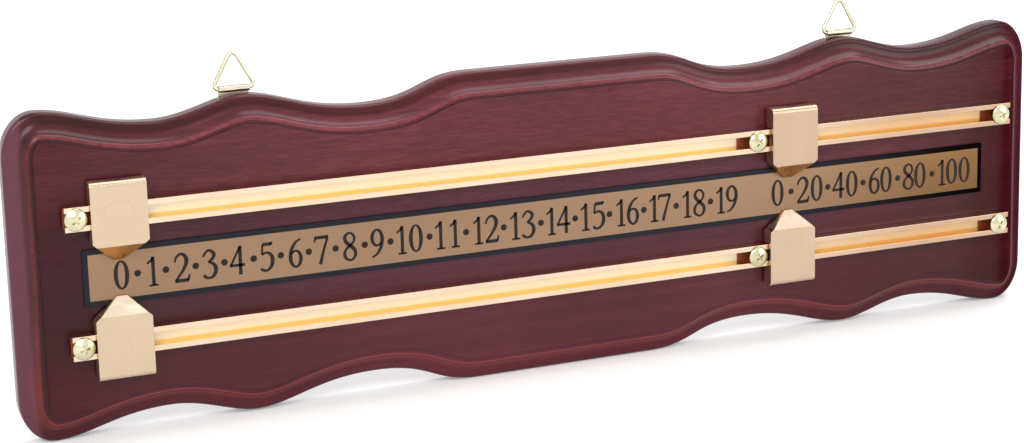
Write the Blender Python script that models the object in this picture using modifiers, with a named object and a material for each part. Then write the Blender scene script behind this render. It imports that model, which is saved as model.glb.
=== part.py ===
# Billiard scoreboard: a wavy board with a long number plate between two slotted rails.
# Metres, +Z up. The back of the board lies on the plane y = 0 and the front faces -Y.
import math

import bmesh
import bpy
import numpy as np

mm = 0.001

# Board
boardLength = 524.8 * mm
boardHeight = 148.4 * mm
boardThickness = 16 * mm
rimThickness = 9.3 * mm
rimRadius = 2.4 * mm
mouldingWidth = 11.9 * mm
ledgeWidth = 0.8 * mm
ledgeDepth = 0.9 * mm
coveShare = 0.7

# Wave of the outline from the middle of the top edge towards the corner:
# share of the half length, share of the half height, handle towards the next row, handle back
waveShares = (
    (0.174, 1.000, 0.45, 0.00),
    (0.374, 0.856, 0.50, 0.55),
    (0.590, 0.990, 0.30, 0.30),
    (0.743, 0.882, 0.48, 0.40),
)
# The corner is wider and higher than the moulding, so that the field keeps round corners too
cornerTopShare = 1.0
cornerHandleShare = 0.3
cornerSpareX = 3.6 * mm
cornerSpareZ = 8.5 * mm
waveSteps = 9
cornerSteps = 8
straightSteps = 3
noseSteps = 4
coveSteps = 7
roundOverSteps = 6

# Number plate
plateEndMargin = 30.45 * mm
plateHeight = 25.7 * mm
plateThickness = 0.8 * mm
plateShiftX = -0.35 * mm
plateShiftZ = 0.35 * mm

# Rails
railEndMargin = 20.0 * mm
railHeight = 10.95 * mm
railDepth = 5.7 * mm
railWall = 1.0 * mm
railLip = 2.5 * mm
railOffset = 28.9 * mm
railShiftX = 2.85 * mm
railShiftZ = -0.45 * mm

# Rail screws: the outer ones sit in from the rail's ends, the middle one lies off the rail's middle
screwLeftInset = 4.8 * mm
screwRightInset = 6.0 * mm
screwMiddleX = 95.3 * mm
headRadius = 5.0 * mm
headEdge = 0.5 * mm
headRise = 1.7 * mm
shankRadius = 2.0 * mm
shankDepth = 9.0 * mm
shankPoint = 2.5 * mm
recessArm = 2.5 * mm
recessWidth = 0.9 * mm
recessDepth = 1.3 * mm
crossTurns = {
    ("upper", "left"): 38,
    ("upper", "middle"): 52,
    ("upper", "right"): 25,
    ("lower", "left"): 14,
    ("lower", "middle"): 33,
    ("lower", "right"): 61,
}

# Pointers: the crease and the end are counted from the middle of the rail
pointerWidth = 25.0 * mm
pointerFaceThickness = 2.15 * mm
pointerCrease = 13.1 * mm
pointerBevel = 7.6 * mm
pointerShoulderDrop = 1.5 * mm
pointerEnd = 15.65 * mm
pointerEndRadius = 2.5 * mm
pointerTipWidth = 4.6 * mm
pointerTipShift = 0.7 * mm
pointerTipEdge = 0.5 * mm
pointerEndSteps = 8
upperUnitsRest = 1.2 * mm
lowerUnitsRest = 0.5 * mm
upperHundredsRest = 2.3 * mm
lowerHundredsRest = 0.9 * mm

# Glides: a button in the channel with a neck up into the pointer
glideFloorGap = 1.5 * mm
glideEdge = 0.3 * mm
neckGap = 0.475 * mm
neckHoleDepth = 1.2 * mm

# Hangers, at shares of the half length
hangerLeftShare = -0.5993
hangerRightShare = 0.5906
hangerLeftRise = 1.6 * mm
hangerRightRise = 1.3 * mm
strapWidth = 14.2 * mm
strapLength = 30.0 * mm
strapSheet = 0.5 * mm
strapSlit = 0.4 * mm
sleeveSteps = 20
ringWire = 0.9 * mm
ringFootReach = 3.1 * mm
ringPeakZ = 18.5 * mm
ringFootRadius = 2.0 * mm
ringTopRadius = 2.4 * mm
ringArcSteps = 6
strapScrewMargin = 5.0 * mm
strapScrewSpacing = 11.0 * mm
hangerHeadRadius = 2.8 * mm
hangerHeadEdge = 0.3 * mm
hangerHeadRise = 0.4 * mm
hangerShankRadius = 1.2 * mm
hangerShankDepth = 8.0 * mm
hangerShankPoint = 1.6 * mm
hangerRecessArm = 1.5 * mm
hangerRecessWidth = 0.55 * mm
hangerRecessDepth = 0.4 * mm
hangerCrossTurn = 20

# Clearances and cutting margins
seatGap = 0.3 * mm
sideGap = 0.3 * mm
pivotGap = 0.15 * mm
holeGap = 0.3 * mm
cutMargin = 2.0 * mm
weldDistance = 0.01 * mm
turnSteps = 32
domeSteps = 6

# Places that follow from the sizes above; a front is counted from the field
fieldY = -boardThickness
rimDepth = boardThickness - rimThickness
cornerWidth = mouldingWidth + cornerSpareX
cornerHeight = mouldingWidth + cornerSpareZ
plateLength = boardLength - 2 * plateEndMargin
railLength = boardLength - 2 * railEndMargin
railFront = seatGap + railDepth
grooveFloor = railFront + seatGap
pointerFront = grooveFloor + pointerFaceThickness
pointerBack = seatGap + plateThickness + seatGap
pointerTip = pointerCrease + pointerBevel
neckRadius = railHeight / 2 - railLip - neckGap
railMiddleZ = {"upper": railShiftZ + railOffset, "lower": railShiftZ - railOffset}
screwSpots = {
    "left": screwLeftInset - railLength / 2,
    "middle": screwMiddleX,
    "right": railLength / 2 - screwRightInset,
}

# Turns that point a piece's local Z forwards, forwards and upside down, backwards, and along +X
facing = (math.pi / 2, 0, 0)
facingTurned = (math.pi / 2, math.pi, 0)
facingBack = (-math.pi / 2, 0, 0)
alongX = (math.pi / 2, 0, math.pi / 2)


def clearScene():
    for obj in list(bpy.data.objects):
        bpy.data.objects.remove(obj, do_unlink=True)
    for collection in list(bpy.data.collections):
        bpy.data.collections.remove(collection)


def newCollection(name, hidden=False):
    collection = bpy.data.collections.new(name)
    bpy.context.scene.collection.children.link(collection)
    collection.hide_render = hidden
    return collection


def linear(channel):
    share = channel / 255
    return share / 12.92 if share <= 0.04045 else ((share + 0.055) / 1.055) ** 2.4


def newMaterial(name, colour, metallic, roughness):
    material = bpy.data.materials.new(name)
    material.use_nodes = True
    shader = material.node_tree.nodes["Principled BSDF"]
    rgba = [linear(channel) for channel in colour] + [1]
    shader.inputs["Base Color"].default_value = rgba
    shader.inputs["Metallic"].default_value = metallic
    shader.inputs["Roughness"].default_value = roughness
    material.diffuse_color = rgba
    return material


def place(obj, collection, location=(0, 0, 0), rotation=(0, 0, 0), material=None, parent=None):
    collection.objects.link(obj)
    obj.location = location
    obj.rotation_euler = rotation
    obj.parent = parent
    if material is not None:
        obj.data.materials.append(material)
    if collection is cutters:
        obj.hide_render = True
        obj.display_type = "WIRE"
    return obj


# A flat outline in its local XY plane, as thick as asked for, with its middle on the plane
def flatOutline(name, points, thickness):
    curve = bpy.data.curves.new(name, "CURVE")
    curve.dimensions = "2D"
    curve.fill_mode = "BOTH"
    curve.extrude = thickness / 2
    spline = curve.splines.new("POLY")
    spline.points.add(len(points) - 1)
    for point, (x, y) in zip(spline.points, points):
        point.co = (x, y, 0, 1)
    spline.use_cyclic_u = True
    scratch = bpy.data.objects.new(name, curve)
    bpy.context.scene.collection.objects.link(scratch)
    bpy.context.view_layer.update()
    graph = bpy.context.evaluated_depsgraph_get()
    mesh = bpy.data.meshes.new_from_object(scratch.evaluated_get(graph))
    mesh.name = name
    bpy.data.objects.remove(scratch, do_unlink=True)
    bpy.data.curves.remove(curve)
    shape = bmesh.new()
    shape.from_mesh(mesh)
    bmesh.ops.remove_doubles(shape, verts=shape.verts, dist=weldDistance)
    bmesh.ops.recalc_face_normals(shape, faces=shape.faces)
    shape.to_mesh(mesh)
    shape.free()
    return bpy.data.objects.new(name, mesh)


# A turned solid about its local Z, from (radius, height) points that start and end on the axis
def turnedSolid(name, profile):
    mesh = bpy.data.meshes.new(name)
    points = [(radius, 0, height) for radius, height in profile]
    edges = [(k, k + 1) for k in range(len(points) - 1)]
    mesh.from_pydata(points, edges, [])
    obj = bpy.data.objects.new(name, mesh)
    turn = obj.modifiers.new("Turn", "SCREW")
    turn.steps = turnSteps
    turn.render_steps = turnSteps
    turn.use_merge_vertices = True
    turn.merge_threshold = weldDistance
    turn.use_normal_calculate = True
    return obj


def cylinder(name, radius, length):
    mesh = bpy.data.meshes.new(name)
    shape = bmesh.new()
    bmesh.ops.create_cone(
        shape, cap_ends=True, segments=turnSteps, radius1=radius, radius2=radius, depth=length
    )
    shape.to_mesh(mesh)
    shape.free()
    return bpy.data.objects.new(name, mesh)


def box(name, sizeX, sizeY, sizeZ):
    mesh = bpy.data.meshes.new(name)
    shape = bmesh.new()
    bmesh.ops.create_cube(shape, size=1)
    bmesh.ops.scale(shape, vec=(sizeX, sizeY, sizeZ), verts=shape.verts)
    shape.to_mesh(mesh)
    shape.free()
    return bpy.data.objects.new(name, mesh)


def cut(obj, cutter, operation="DIFFERENCE"):
    boolean = obj.modifiers.new("Cut " + cutter.name, "BOOLEAN")
    boolean.operation = operation
    boolean.solver = "EXACT"
    boolean.object = cutter


def arc(centreX, centreY, radius, start, end, steps):
    angles = np.linspace(start, end, steps + 1)
    return [(centreX + radius * math.cos(a), centreY + radius * math.sin(a)) for a in angles]


# A quarter of the board's outline, from the middle of the top edge to the middle of the right side
def quarterOutline():
    halfLength = boardLength / 2
    halfHeight = boardHeight / 2
    along = [0]
    up = [halfHeight]
    cornerX = halfLength - cornerWidth
    cornerTop = cornerTopShare * halfHeight
    cornerZ = cornerTop - cornerHeight
    knots = [(x * halfLength, z * halfHeight, out, back) for x, z, out, back in waveShares]
    knots.append((cornerX, cornerTop, 0, cornerHandleShare))
    along.extend(np.linspace(0, knots[0][0], straightSteps + 1)[1:])
    up.extend([knots[0][1]] * straightSteps)
    t = np.linspace(0, 1, waveSteps + 1)[1:]
    for (x0, z0, out, _), (x1, z1, _, back) in zip(knots, knots[1:]):
        weights = 3 * (1 - t) ** 2 * t * out + 3 * (1 - t) * t**2 * (1 - back) + t**3
        along.extend(x0 + (x1 - x0) * weights)
        up.extend(z0 + (z1 - z0) * (3 * (1 - t) * t**2 + t**3))
    turn = np.linspace(0, math.pi / 2, cornerSteps + 1)[1:]
    along.extend(cornerX + cornerWidth * np.sin(turn))
    up.extend(cornerZ + cornerHeight * np.cos(turn))
    along.extend([halfLength] * straightSteps)
    up.extend(np.linspace(cornerZ, 0, straightSteps + 1)[1:])
    return np.array(along), np.array(up)


# The whole outline and its outward normals, clockwise as seen from the front
def boardOutline():
    x, z = quarterOutline()
    fullX = np.concatenate([x, x[-2::-1], -x[1:], -x[-2:0:-1]])
    fullZ = np.concatenate([z, -z[-2::-1], -z[1:], z[-2:0:-1]])
    points = np.stack([fullX, fullZ], axis=1)
    ahead = np.roll(points, -1, axis=0) - points
    ahead /= np.linalg.norm(ahead, axis=1, keepdims=True)
    tangent = ahead + np.roll(ahead, 1, axis=0)
    tangent /= np.linalg.norm(tangent, axis=1, keepdims=True)
    normals = np.stack([-tangent[:, 1], tangent[:, 0]], axis=1)
    return points, normals


# The routed edge as (inset from the outline, depth behind the field), from the back to the field:
# a round nose, then a hollow arc and a round one that meet at the slope that closes the height
def mouldingProfile():
    profile = [(0, boardThickness)]
    quarter = np.linspace(0, math.pi / 2, noseSteps + 1)
    profile += [
        (rimRadius - rimRadius * math.cos(a), rimDepth + rimRadius - rimRadius * math.sin(a))
        for a in quarter
    ]
    run = mouldingWidth - ledgeWidth - rimRadius
    steep = 2 * math.atan2(rimDepth - ledgeDepth, run)
    hollow = coveShare * run / math.sin(steep)
    bulge = (1 - coveShare) * run / math.sin(steep)
    profile += [
        (rimRadius + hollow * math.sin(a), rimDepth - hollow * (1 - math.cos(a)))
        for a in np.linspace(0, steep, coveSteps + 1)[1:]
    ]
    profile += [
        (rimRadius + run - bulge * math.sin(a), ledgeDepth + bulge * (1 - math.cos(a)))
        for a in np.linspace(steep, 0, roundOverSteps + 1)[1:]
    ]
    profile += [(mouldingWidth, ledgeDepth), (mouldingWidth, 0)]
    return profile


def buildBoard(parts, material):
    outline, normals = boardOutline()
    shape = bmesh.new()
    rings = []
    for inset, depth in mouldingProfile():
        ring = outline - normals * inset
        y = fieldY + depth
        rings.append([shape.verts.new((x, y, z)) for x, z in ring])
    count = len(outline)
    for lower, upper in zip(rings, rings[1:]):
        for k in range(count):
            n = (k + 1) % count
            shape.faces.new((lower[k], lower[n], upper[n], upper[k]))
    shape.faces.new(rings[0])
    shape.faces.new(rings[-1])
    bmesh.ops.recalc_face_normals(shape, faces=shape.faces)
    mesh = bpy.data.meshes.new("backboard")
    shape.to_mesh(mesh)
    shape.free()
    return place(bpy.data.objects.new("backboard", mesh), parts, material=material)


def buildPlate(parts, material):
    plate = box("scale_plate", plateLength, plateThickness, plateHeight)
    y = fieldY - seatGap - plateThickness / 2
    place(plate, parts, (plateShiftX, y, plateShiftZ), material=material)


# The rail's section, as (depth in front of its back, height from its middle)
def railSection():
    half = railHeight / 2
    slot = half - railLip
    inner = half - railWall
    lipBack = railDepth - railWall
    upperHalf = [
        (0, half),
        (railDepth, half),
        (railDepth, slot),
        (lipBack, slot),
        (lipBack, inner),
        (railWall, inner),
    ]
    return upperHalf + [(depth, -height) for depth, height in reversed(upperHalf)]


def buildRail(side, parts, material):
    name = "rail_" + side
    section = [(-depth, height) for depth, height in railSection()]
    rail = flatOutline(name, section, railLength)
    location = (railShiftX, fieldY - seatGap, railMiddleZ[side])
    place(rail, parts, location, alongX, material)
    return rail


def crossOutline(arm, width):
    half = width / 2
    corner = [(half, half), (half, arm), (-half, arm), (-half, half)]
    points = []
    for turn in range(4):
        angle = turn * math.pi / 2
        c, s = round(math.cos(angle)), round(math.sin(angle))
        points += [(c * x - s * y, s * x + c * y) for x, y in corner[1:]]
    return points


# A domed screw along its local Z, with its head's underside on the local XY plane
def buildScrew(name, head, edge, rise, shank, depth, point, recess, turn):
    domeRadius = (head**2 + rise**2) / (2 * rise)
    angles = np.linspace(0, math.asin(head / domeRadius), domeSteps + 1)
    top = edge + rise
    profile = [
        (domeRadius * math.sin(a), top - domeRadius * (1 - math.cos(a))) for a in angles
    ]
    profile += [(head, 0), (shank, 0), (shank, point - depth), (0, -depth)]
    screw = turnedSolid(name, profile)
    arm, width, deep = recess
    cross = flatOutline("cross_" + name, crossOutline(arm, width), deep * 2)
    place(cross, cutters, (0, 0, top), (0, 0, turn), parent=screw)
    cut(screw, cross)
    return screw


def buildRailScrews(side, rail, board, parts, material):
    headBack = fieldY - grooveFloor
    shankLength = grooveFloor + shankDepth
    holeLength = railFront + shankDepth + holeGap
    holeMiddle = fieldY + shankDepth + holeGap - holeLength / 2
    recess = (recessArm, recessWidth, recessDepth)
    for spot, alongRail in screwSpots.items():
        name = "screw_" + side + "_" + spot
        x = railShiftX + alongRail
        z = railMiddleZ[side]
        screw = buildScrew(
            name, headRadius, headEdge, headRise, shankRadius, shankLength, shankPoint,
            recess, math.radians(crossTurns[side, spot]),
        )
        place(screw, parts, (x, headBack, z), facing, material)
        hole = cylinder("hole_" + name, shankRadius + holeGap, holeLength)
        place(hole, cutters, (x, holeMiddle, z), facing)
        cut(rail, hole)
        cut(board, hole)


# The pointer's side, as (depth in front of the field, height from the rail's middle)
def pointerSection():
    groove = railHeight / 2 + sideGap
    roundCentre = pointerFront - pointerEndRadius
    tipFront = pointerBack + pointerTipEdge
    points = [(pointerBack, -pointerEnd)]
    points += arc(
        roundCentre, pointerEndRadius - pointerEnd, pointerEndRadius,
        -math.pi / 2, 0, pointerEndSteps,
    )
    points += [
        (pointerFront, pointerCrease),
        (tipFront, pointerTip),
        (tipFront, pointerTip + cutMargin),
        (pointerBack, pointerTip + cutMargin),
        (pointerBack, groove),
        (grooveFloor, groove),
        (grooveFloor, -groove),
        (pointerBack, -groove),
    ]
    return points


# The pointer's face: a block with sloped shoulders up to a short flat tip
def pointerFace():
    half = pointerWidth / 2
    tip = pointerTipWidth / 2
    shoulder = pointerCrease - pointerShoulderDrop
    return [
        (-half, -pointerEnd - cutMargin),
        (half, -pointerEnd - cutMargin),
        (half, shoulder),
        (pointerTipShift + tip, pointerTip),
        (pointerTipShift - tip, pointerTip),
        (-half, shoulder),
    ]


# The pointer's origin lies on the field, at the middle of its rail, and its local Z points forwards
def buildPointer(side, row, x, parts, material, glideMaterial):
    name = "pointer_" + side + "_" + row
    rotation = facingTurned if side == "upper" else facing
    pointer = flatOutline(name, pointerFace(), pointerFront * 2 + cutMargin)
    place(pointer, parts, (x, fieldY, railMiddleZ[side]), rotation, material)
    section = flatOutline("section_" + name, pointerSection(), pointerWidth + cutMargin)
    place(section, cutters, rotation=(0, -math.pi / 2, 0), parent=pointer)
    cut(pointer, section, "INTERSECT")

    neckHole = cylinder("hole_" + name, neckRadius + pivotGap, neckHoleDepth * 2)
    place(neckHole, cutters, (0, 0, grooveFloor), parent=pointer)
    cut(pointer, neckHole)

    glide = turnedSolid("glide_" + side + "_" + row, glideProfile())
    place(glide, parts, material=glideMaterial, parent=pointer)


# The glide as (radius, depth in front of the field)
def glideProfile():
    discFront = railFront - railWall - sideGap
    discBack = seatGap + railWall + glideFloorGap
    discRadius = railHeight / 2 - railWall - sideGap
    neckFront = grooveFloor + neckHoleDepth - seatGap
    return [
        (0, discBack),
        (discRadius - glideEdge, discBack),
        (discRadius, discBack + glideEdge),
        (discRadius, discFront - glideEdge),
        (discRadius - glideEdge, discFront),
        (neckRadius, discFront),
        (neckRadius, neckFront),
        (0, neckFront),
    ]


# The strap's section about the sleeve's middle, as (distance towards the wall, height)
def strapSection():
    inner = ringWire + pivotGap
    outer = inner + strapSheet
    end = 2 * math.pi - math.acos((inner - strapSlit) / outer)
    points = [(inner, -strapLength), (outer, -strapLength)]
    points += arc(0, 0, outer, 0, end, sleeveSteps)
    points += arc(0, 0, inner, end, 0, sleeveSteps)
    return points


# A closed path with each corner rounded by an arc that touches both of its sides
def roundedPath(corners, radii, steps):
    path = []
    count = len(corners)
    for k, radius in enumerate(radii):
        corner = np.array(corners[k])
        before = np.array(corners[k - 1]) - corner
        after = np.array(corners[(k + 1) % count]) - corner
        before /= np.linalg.norm(before)
        after /= np.linalg.norm(after)
        half = math.acos(float(before @ after)) / 2
        middle = (before + after) / np.linalg.norm(before + after)
        centre = corner + middle * radius / math.sin(half)
        sweep = math.pi / 2 - half
        side = np.array((-middle[1], middle[0]))
        side *= math.copysign(1, float(side @ before))
        turns = np.linspace(-sweep, sweep, steps + 1)
        path += [tuple(centre - radius * (middle * math.cos(a) + side * math.sin(a))) for a in turns]
    return path


def buildRing(name, location, parts, material):
    foot = strapWidth / 2 + ringFootReach
    corners = ((-foot, 0), (foot, 0), (0, ringPeakZ))
    radii = (ringFootRadius, ringFootRadius, ringTopRadius)
    path = roundedPath(corners, radii, ringArcSteps)
    curve = bpy.data.curves.new(name, "CURVE")
    curve.dimensions = "3D"
    curve.bevel_depth = ringWire
    curve.bevel_resolution = 3
    spline = curve.splines.new("POLY")
    spline.points.add(len(path) - 1)
    for point, (x, z) in zip(spline.points, path):
        point.co = (x, z, 0, 1)
    spline.use_cyclic_u = True
    place(bpy.data.objects.new(name, curve), parts, location, facing, material)


def buildHanger(end, x, rise, board, parts, strapMaterial, screwMaterial):
    strapFloat = seatGap + hangerHeadEdge + hangerHeadRise + seatGap
    sleeveRadius = ringWire + pivotGap + strapSheet
    axisY = -strapFloat - sleeveRadius
    axisZ = boardHeight / 2 + rise
    strap = flatOutline("hanger_strap_" + end, strapSection(), strapWidth)
    place(strap, parts, (x, axisY, axisZ), alongX, strapMaterial)
    buildRing("hanger_ring_" + end, (x, axisY, axisZ), parts, strapMaterial)

    recessDeep = strapFloat + strapSheet + seatGap
    low = axisZ - strapLength - sideGap
    high = boardHeight / 2 + cutMargin
    recess = box(
        "recess_" + end, strapWidth + 2 * sideGap, recessDeep + cutMargin, high - low
    )
    place(recess, cutters, (x, (cutMargin - recessDeep) / 2, (high + low) / 2))
    cut(board, recess)

    headBack = -strapFloat + seatGap
    shankLength = seatGap + strapSheet + seatGap + hangerShankDepth
    holeLength = shankLength + holeGap + cutMargin
    crossRecess = (hangerRecessArm, hangerRecessWidth, hangerRecessDepth)
    bottomDrop = strapLength - strapScrewMargin
    drops = {"top": bottomDrop - strapScrewSpacing, "bottom": bottomDrop}
    for spot, drop in drops.items():
        name = "hanger_screw_" + end + "_" + spot
        screw = buildScrew(
            name, hangerHeadRadius, hangerHeadEdge, hangerHeadRise, hangerShankRadius,
            shankLength, hangerShankPoint, crossRecess, math.radians(hangerCrossTurn),
        )
        place(screw, parts, (x, headBack, axisZ - drop), facingBack, screwMaterial)
        hole = cylinder("hole_" + name, hangerShankRadius + holeGap, holeLength)
        holeMiddle = headBack + cutMargin - holeLength / 2
        place(hole, cutters, (x, holeMiddle, axisZ - drop), facingBack)
        cut(strap, hole)
        cut(board, hole)


clearScene()
parts = newCollection("billiard_scoreboard")
cutters = newCollection("cutters", hidden=True)

wood = newMaterial("stained_hardwood", (104, 60, 68), 0, 0.32)
gold = newMaterial("gold_plate", (168, 132, 106), 0.6, 0.35)
railGold = newMaterial("polished_gold_rail", (240, 210, 160), 0.9, 0.2)
pointerGold = newMaterial("brushed_gold", (226, 200, 168), 0.8, 0.35)
glideBrass = newMaterial("plain_brass", (190, 160, 95), 0.9, 0.35)
plated = newMaterial("pale_plated_steel", (222, 218, 188), 0.9, 0.28)
hangerBrass = newMaterial("pale_brass", (214, 200, 160), 0.9, 0.3)
hangerSteel = newMaterial("plated_steel", (196, 192, 180), 0.9, 0.35)

board = buildBoard(parts, wood)
buildPlate(parts, gold)

for side in ("upper", "lower"):
    rail = buildRail(side, parts, railGold)
    buildRailScrews(side, rail, board, parts, plated)

# Each pointer rests this far to the right of a screw's head
pointerRests = {
    ("upper", "units"): ("left", upperUnitsRest),
    ("lower", "units"): ("left", lowerUnitsRest),
    ("upper", "hundreds"): ("middle", upperHundredsRest),
    ("lower", "hundreds"): ("middle", lowerHundredsRest),
}
for (side, row), (stop, rest) in pointerRests.items():
    x = railShiftX + screwSpots[stop] + headRadius + rest + pointerWidth / 2
    buildPointer(side, row, x, parts, pointerGold, glideBrass)

hangers = {
    "left": (hangerLeftShare, hangerLeftRise),
    "right": (hangerRightShare, hangerRightRise),
}
for end, (share, rise) in hangers.items():
    buildHanger(end, share * boardLength / 2, rise, board, parts, hangerBrass, hangerSteel)
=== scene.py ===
# Billiard scoreboard: the looks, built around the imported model. Metres, +Z up, the front faces -Y.
import math

import bmesh
import bpy
import numpy as np
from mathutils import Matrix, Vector


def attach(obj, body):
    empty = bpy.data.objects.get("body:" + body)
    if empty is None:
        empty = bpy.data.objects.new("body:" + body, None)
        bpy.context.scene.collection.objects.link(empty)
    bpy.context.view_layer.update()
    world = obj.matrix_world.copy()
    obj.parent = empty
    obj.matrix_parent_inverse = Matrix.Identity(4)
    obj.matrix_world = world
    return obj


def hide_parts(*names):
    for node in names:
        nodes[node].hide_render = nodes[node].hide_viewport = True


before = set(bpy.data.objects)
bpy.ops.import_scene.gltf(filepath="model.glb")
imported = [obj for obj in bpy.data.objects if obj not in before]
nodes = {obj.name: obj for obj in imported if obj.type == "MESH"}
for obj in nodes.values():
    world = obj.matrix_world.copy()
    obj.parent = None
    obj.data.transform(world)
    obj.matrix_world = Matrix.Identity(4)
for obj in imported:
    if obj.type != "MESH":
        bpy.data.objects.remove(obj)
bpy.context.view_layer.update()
mm = 0.001
print("stage: frame loaded,", len(nodes), "nodes")


# ---- mesh helpers

# Faces of a grid of points: point (i, j) joins (i, j+1), (i+1, j+1) and (i+1, j)
def gridFaces(rows, columns, closeRows=False, closeColumns=False):
    index = np.arange(rows * columns).reshape(rows, columns)
    if closeRows:
        index = np.vstack([index, index[:1]])
    if closeColumns:
        index = np.hstack([index, index[:, :1]])
    quads = np.stack([index[:-1, :-1], index[:-1, 1:], index[1:, 1:], index[1:, :-1]], axis=-1)
    return quads.reshape(-1, 4)


# The same with closed columns and a face over either end
def tubeFaces(rows, columns):
    first = np.arange(columns)
    return [gridFaces(rows, columns, closeColumns=True), [first], [first + (rows - 1) * columns]]


# Puts points and faces into a mesh, closes its seams and turns its faces outwards
def newPiece(name, points, faces, material=None, sharp=35):
    mesh = bpy.data.meshes.new(name)
    polygons = [face for block in faces for face in np.asarray(block).tolist()]
    mesh.from_pydata(np.asarray(points).reshape(-1, 3).tolist(), [], polygons)
    shape = bmesh.new()
    shape.from_mesh(mesh)
    bmesh.ops.remove_doubles(shape, verts=shape.verts, dist=0.001 * mm)
    bmesh.ops.dissolve_degenerate(shape, edges=shape.edges, dist=0.001 * mm)
    bmesh.ops.recalc_face_normals(shape, faces=shape.faces)
    shape.to_mesh(mesh)
    shape.free()
    obj = bpy.data.objects.new(name, mesh)
    bpy.context.scene.collection.objects.link(obj)
    if material is not None:
        mesh.materials.append(material)
    smoothen(obj, sharp)
    return obj


def smoothen(obj, sharp):
    obj.data.polygons.foreach_set("use_smooth", [True] * len(obj.data.polygons))
    obj.data.set_sharp_from_angle(angle=math.radians(sharp))


# Cuts the cutters out of a piece, and removes them
def cutAway(obj, cutters, sharp=35):
    for cutter in cutters:
        boolean = obj.modifiers.new("Cut", "BOOLEAN")
        boolean.operation = "DIFFERENCE"
        boolean.solver = "EXACT"
        boolean.object = cutter
    bpy.context.view_layer.update()
    graph = bpy.context.evaluated_depsgraph_get()
    mesh = bpy.data.meshes.new_from_object(obj.evaluated_get(graph))
    obj.modifiers.clear()
    old = obj.data
    obj.data = mesh
    bpy.data.meshes.remove(old)
    mesh.name = obj.name
    for cutter in cutters:
        scrap = cutter.data
        bpy.data.objects.remove(cutter, do_unlink=True)
        bpy.data.meshes.remove(scrap)
    smoothen(obj, sharp)


# Small round edges, with each face shaded as flat as it is
def roundEdges(obj, width, segments=3, angle=28):
    bevel = obj.modifiers.new("Round edges", "BEVEL")
    bevel.width = width
    bevel.segments = segments
    bevel.limit_method = "ANGLE"
    bevel.angle_limit = math.radians(angle)
    bevel.use_clamp_overlap = True
    weigh = obj.modifiers.new("Flat faces", "WEIGHTED_NORMAL")
    weigh.keep_sharp = True


# An arc as (across, up) points, from angle start to angle end in degrees
def arc(centreX, centreY, radius, start, end, steps):
    a = np.radians(np.linspace(start, end, steps + 1))
    return np.stack([centreX + radius * np.cos(a), centreY + radius * np.sin(a)], axis=1)


# ---- material helpers

def srgb(red, green, blue):
    channels = np.array([red, green, blue]) / 255
    low = channels / 12.92
    high = ((channels + 0.055) / 1.055) ** 2.4
    return tuple(np.where(channels <= 0.04045, low, high)) + (1.0,)


# What a node puts out; + - * / and abs() of it add Math nodes
class Output:
    def __init__(self, socket):
        self.socket = socket

    __add__ = lambda self, other: calculate("ADD", self, other)
    __sub__ = lambda self, other: calculate("SUBTRACT", self, other)
    __rsub__ = lambda self, other: calculate("SUBTRACT", other, self)
    __mul__ = lambda self, other: calculate("MULTIPLY", self, other)
    __truediv__ = lambda self, other: calculate("DIVIDE", self, other)
    __abs__ = lambda self: calculate("ABSOLUTE", self)


# Sets inputs of a node, and links those that are given another node's output
def feed(node, inputs):
    for key, value in inputs.items():
        if isinstance(value, Output):
            node.id_data.links.new(value.socket, node.inputs[key])
        else:
            node.inputs[key].default_value = value


# A new node in the given tree, or in the one that its inputs come from
def addNode(kind, inputs, tree=None, **settings):
    if tree is None:
        tree = next(value.socket.id_data for value in inputs.values() if isinstance(value, Output))
    node = tree.nodes.new(kind)
    for key, value in settings.items():
        setattr(node, key, value)
    feed(node, inputs)
    return node


# Object coordinates, stretched along each axis, turned and shifted
def placed(tree, scale=(1, 1, 1), turn=(0, 0, 0), shift=(0, 0, 0)):
    coordinates = Output(addNode("ShaderNodeTexCoord", {}, tree).outputs["Object"])
    mapping = {"Vector": coordinates, "Scale": scale, "Rotation": turn, "Location": shift}
    return Output(addNode("ShaderNodeMapping", mapping).outputs["Vector"])


# The three object coordinates, each as a value of its own
def axes(tree, shift=(0, 0, 0)):
    split = addNode("ShaderNodeSeparateXYZ", {0: placed(tree, shift=shift)})
    return [Output(socket) for socket in split.outputs]


def noise(tree, stretch, detail, roughness, turn=(0, 0, 0)):
    inputs = {"Vector": placed(tree, stretch, turn), "Detail": detail, "Roughness": roughness}
    return Output(addNode("ShaderNodeTexNoise", {"Scale": 1.0, **inputs}).outputs["Fac"])


def ramp(value, stops):
    node = addNode("ShaderNodeValToRGB", {"Fac": value})
    elements = node.color_ramp.elements
    while len(elements) < len(stops):
        elements.new(0.5)
    for element, (position, colour) in zip(elements, stops):
        element.position = position
        element.color = colour
    return Output(node.outputs["Color"])


def mixColour(kind, share, first, second):
    inputs = {0: share, 6: first, 7: second}
    return Output(addNode("ShaderNodeMix", inputs, data_type="RGBA", blend_type=kind).outputs[2])


# A value carried evenly from one range to another, and held at the ends
def mapRange(value, fromLow, fromHigh, toLow=0.0, toHigh=1.0, **settings):
    inputs = {"Value": value, "From Min": fromLow, "From Max": fromHigh, "To Min": toLow}
    inputs["To Max"] = toHigh
    return Output(addNode("ShaderNodeMapRange", inputs, **settings).outputs["Result"])


# The same with a soft start and end
def fade(value, *limits):
    return mapRange(value, *limits, interpolation_type="SMOOTHSTEP")


# A sum, product or the like of the values in turn; a sign, root or the like takes one
def calculate(kind, result, *others):
    for other in others or (0.0,):
        inputs = {0: result, 1: other}
        result = Output(addNode("ShaderNodeMath", inputs, operation=kind).outputs[0])
    return result


def addBump(shader, height, distance, strength):
    inputs = {"Height": height, "Distance": distance, "Strength": strength}
    feed(shader, {"Normal": Output(addNode("ShaderNodeBump", inputs).outputs["Normal"])})


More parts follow.
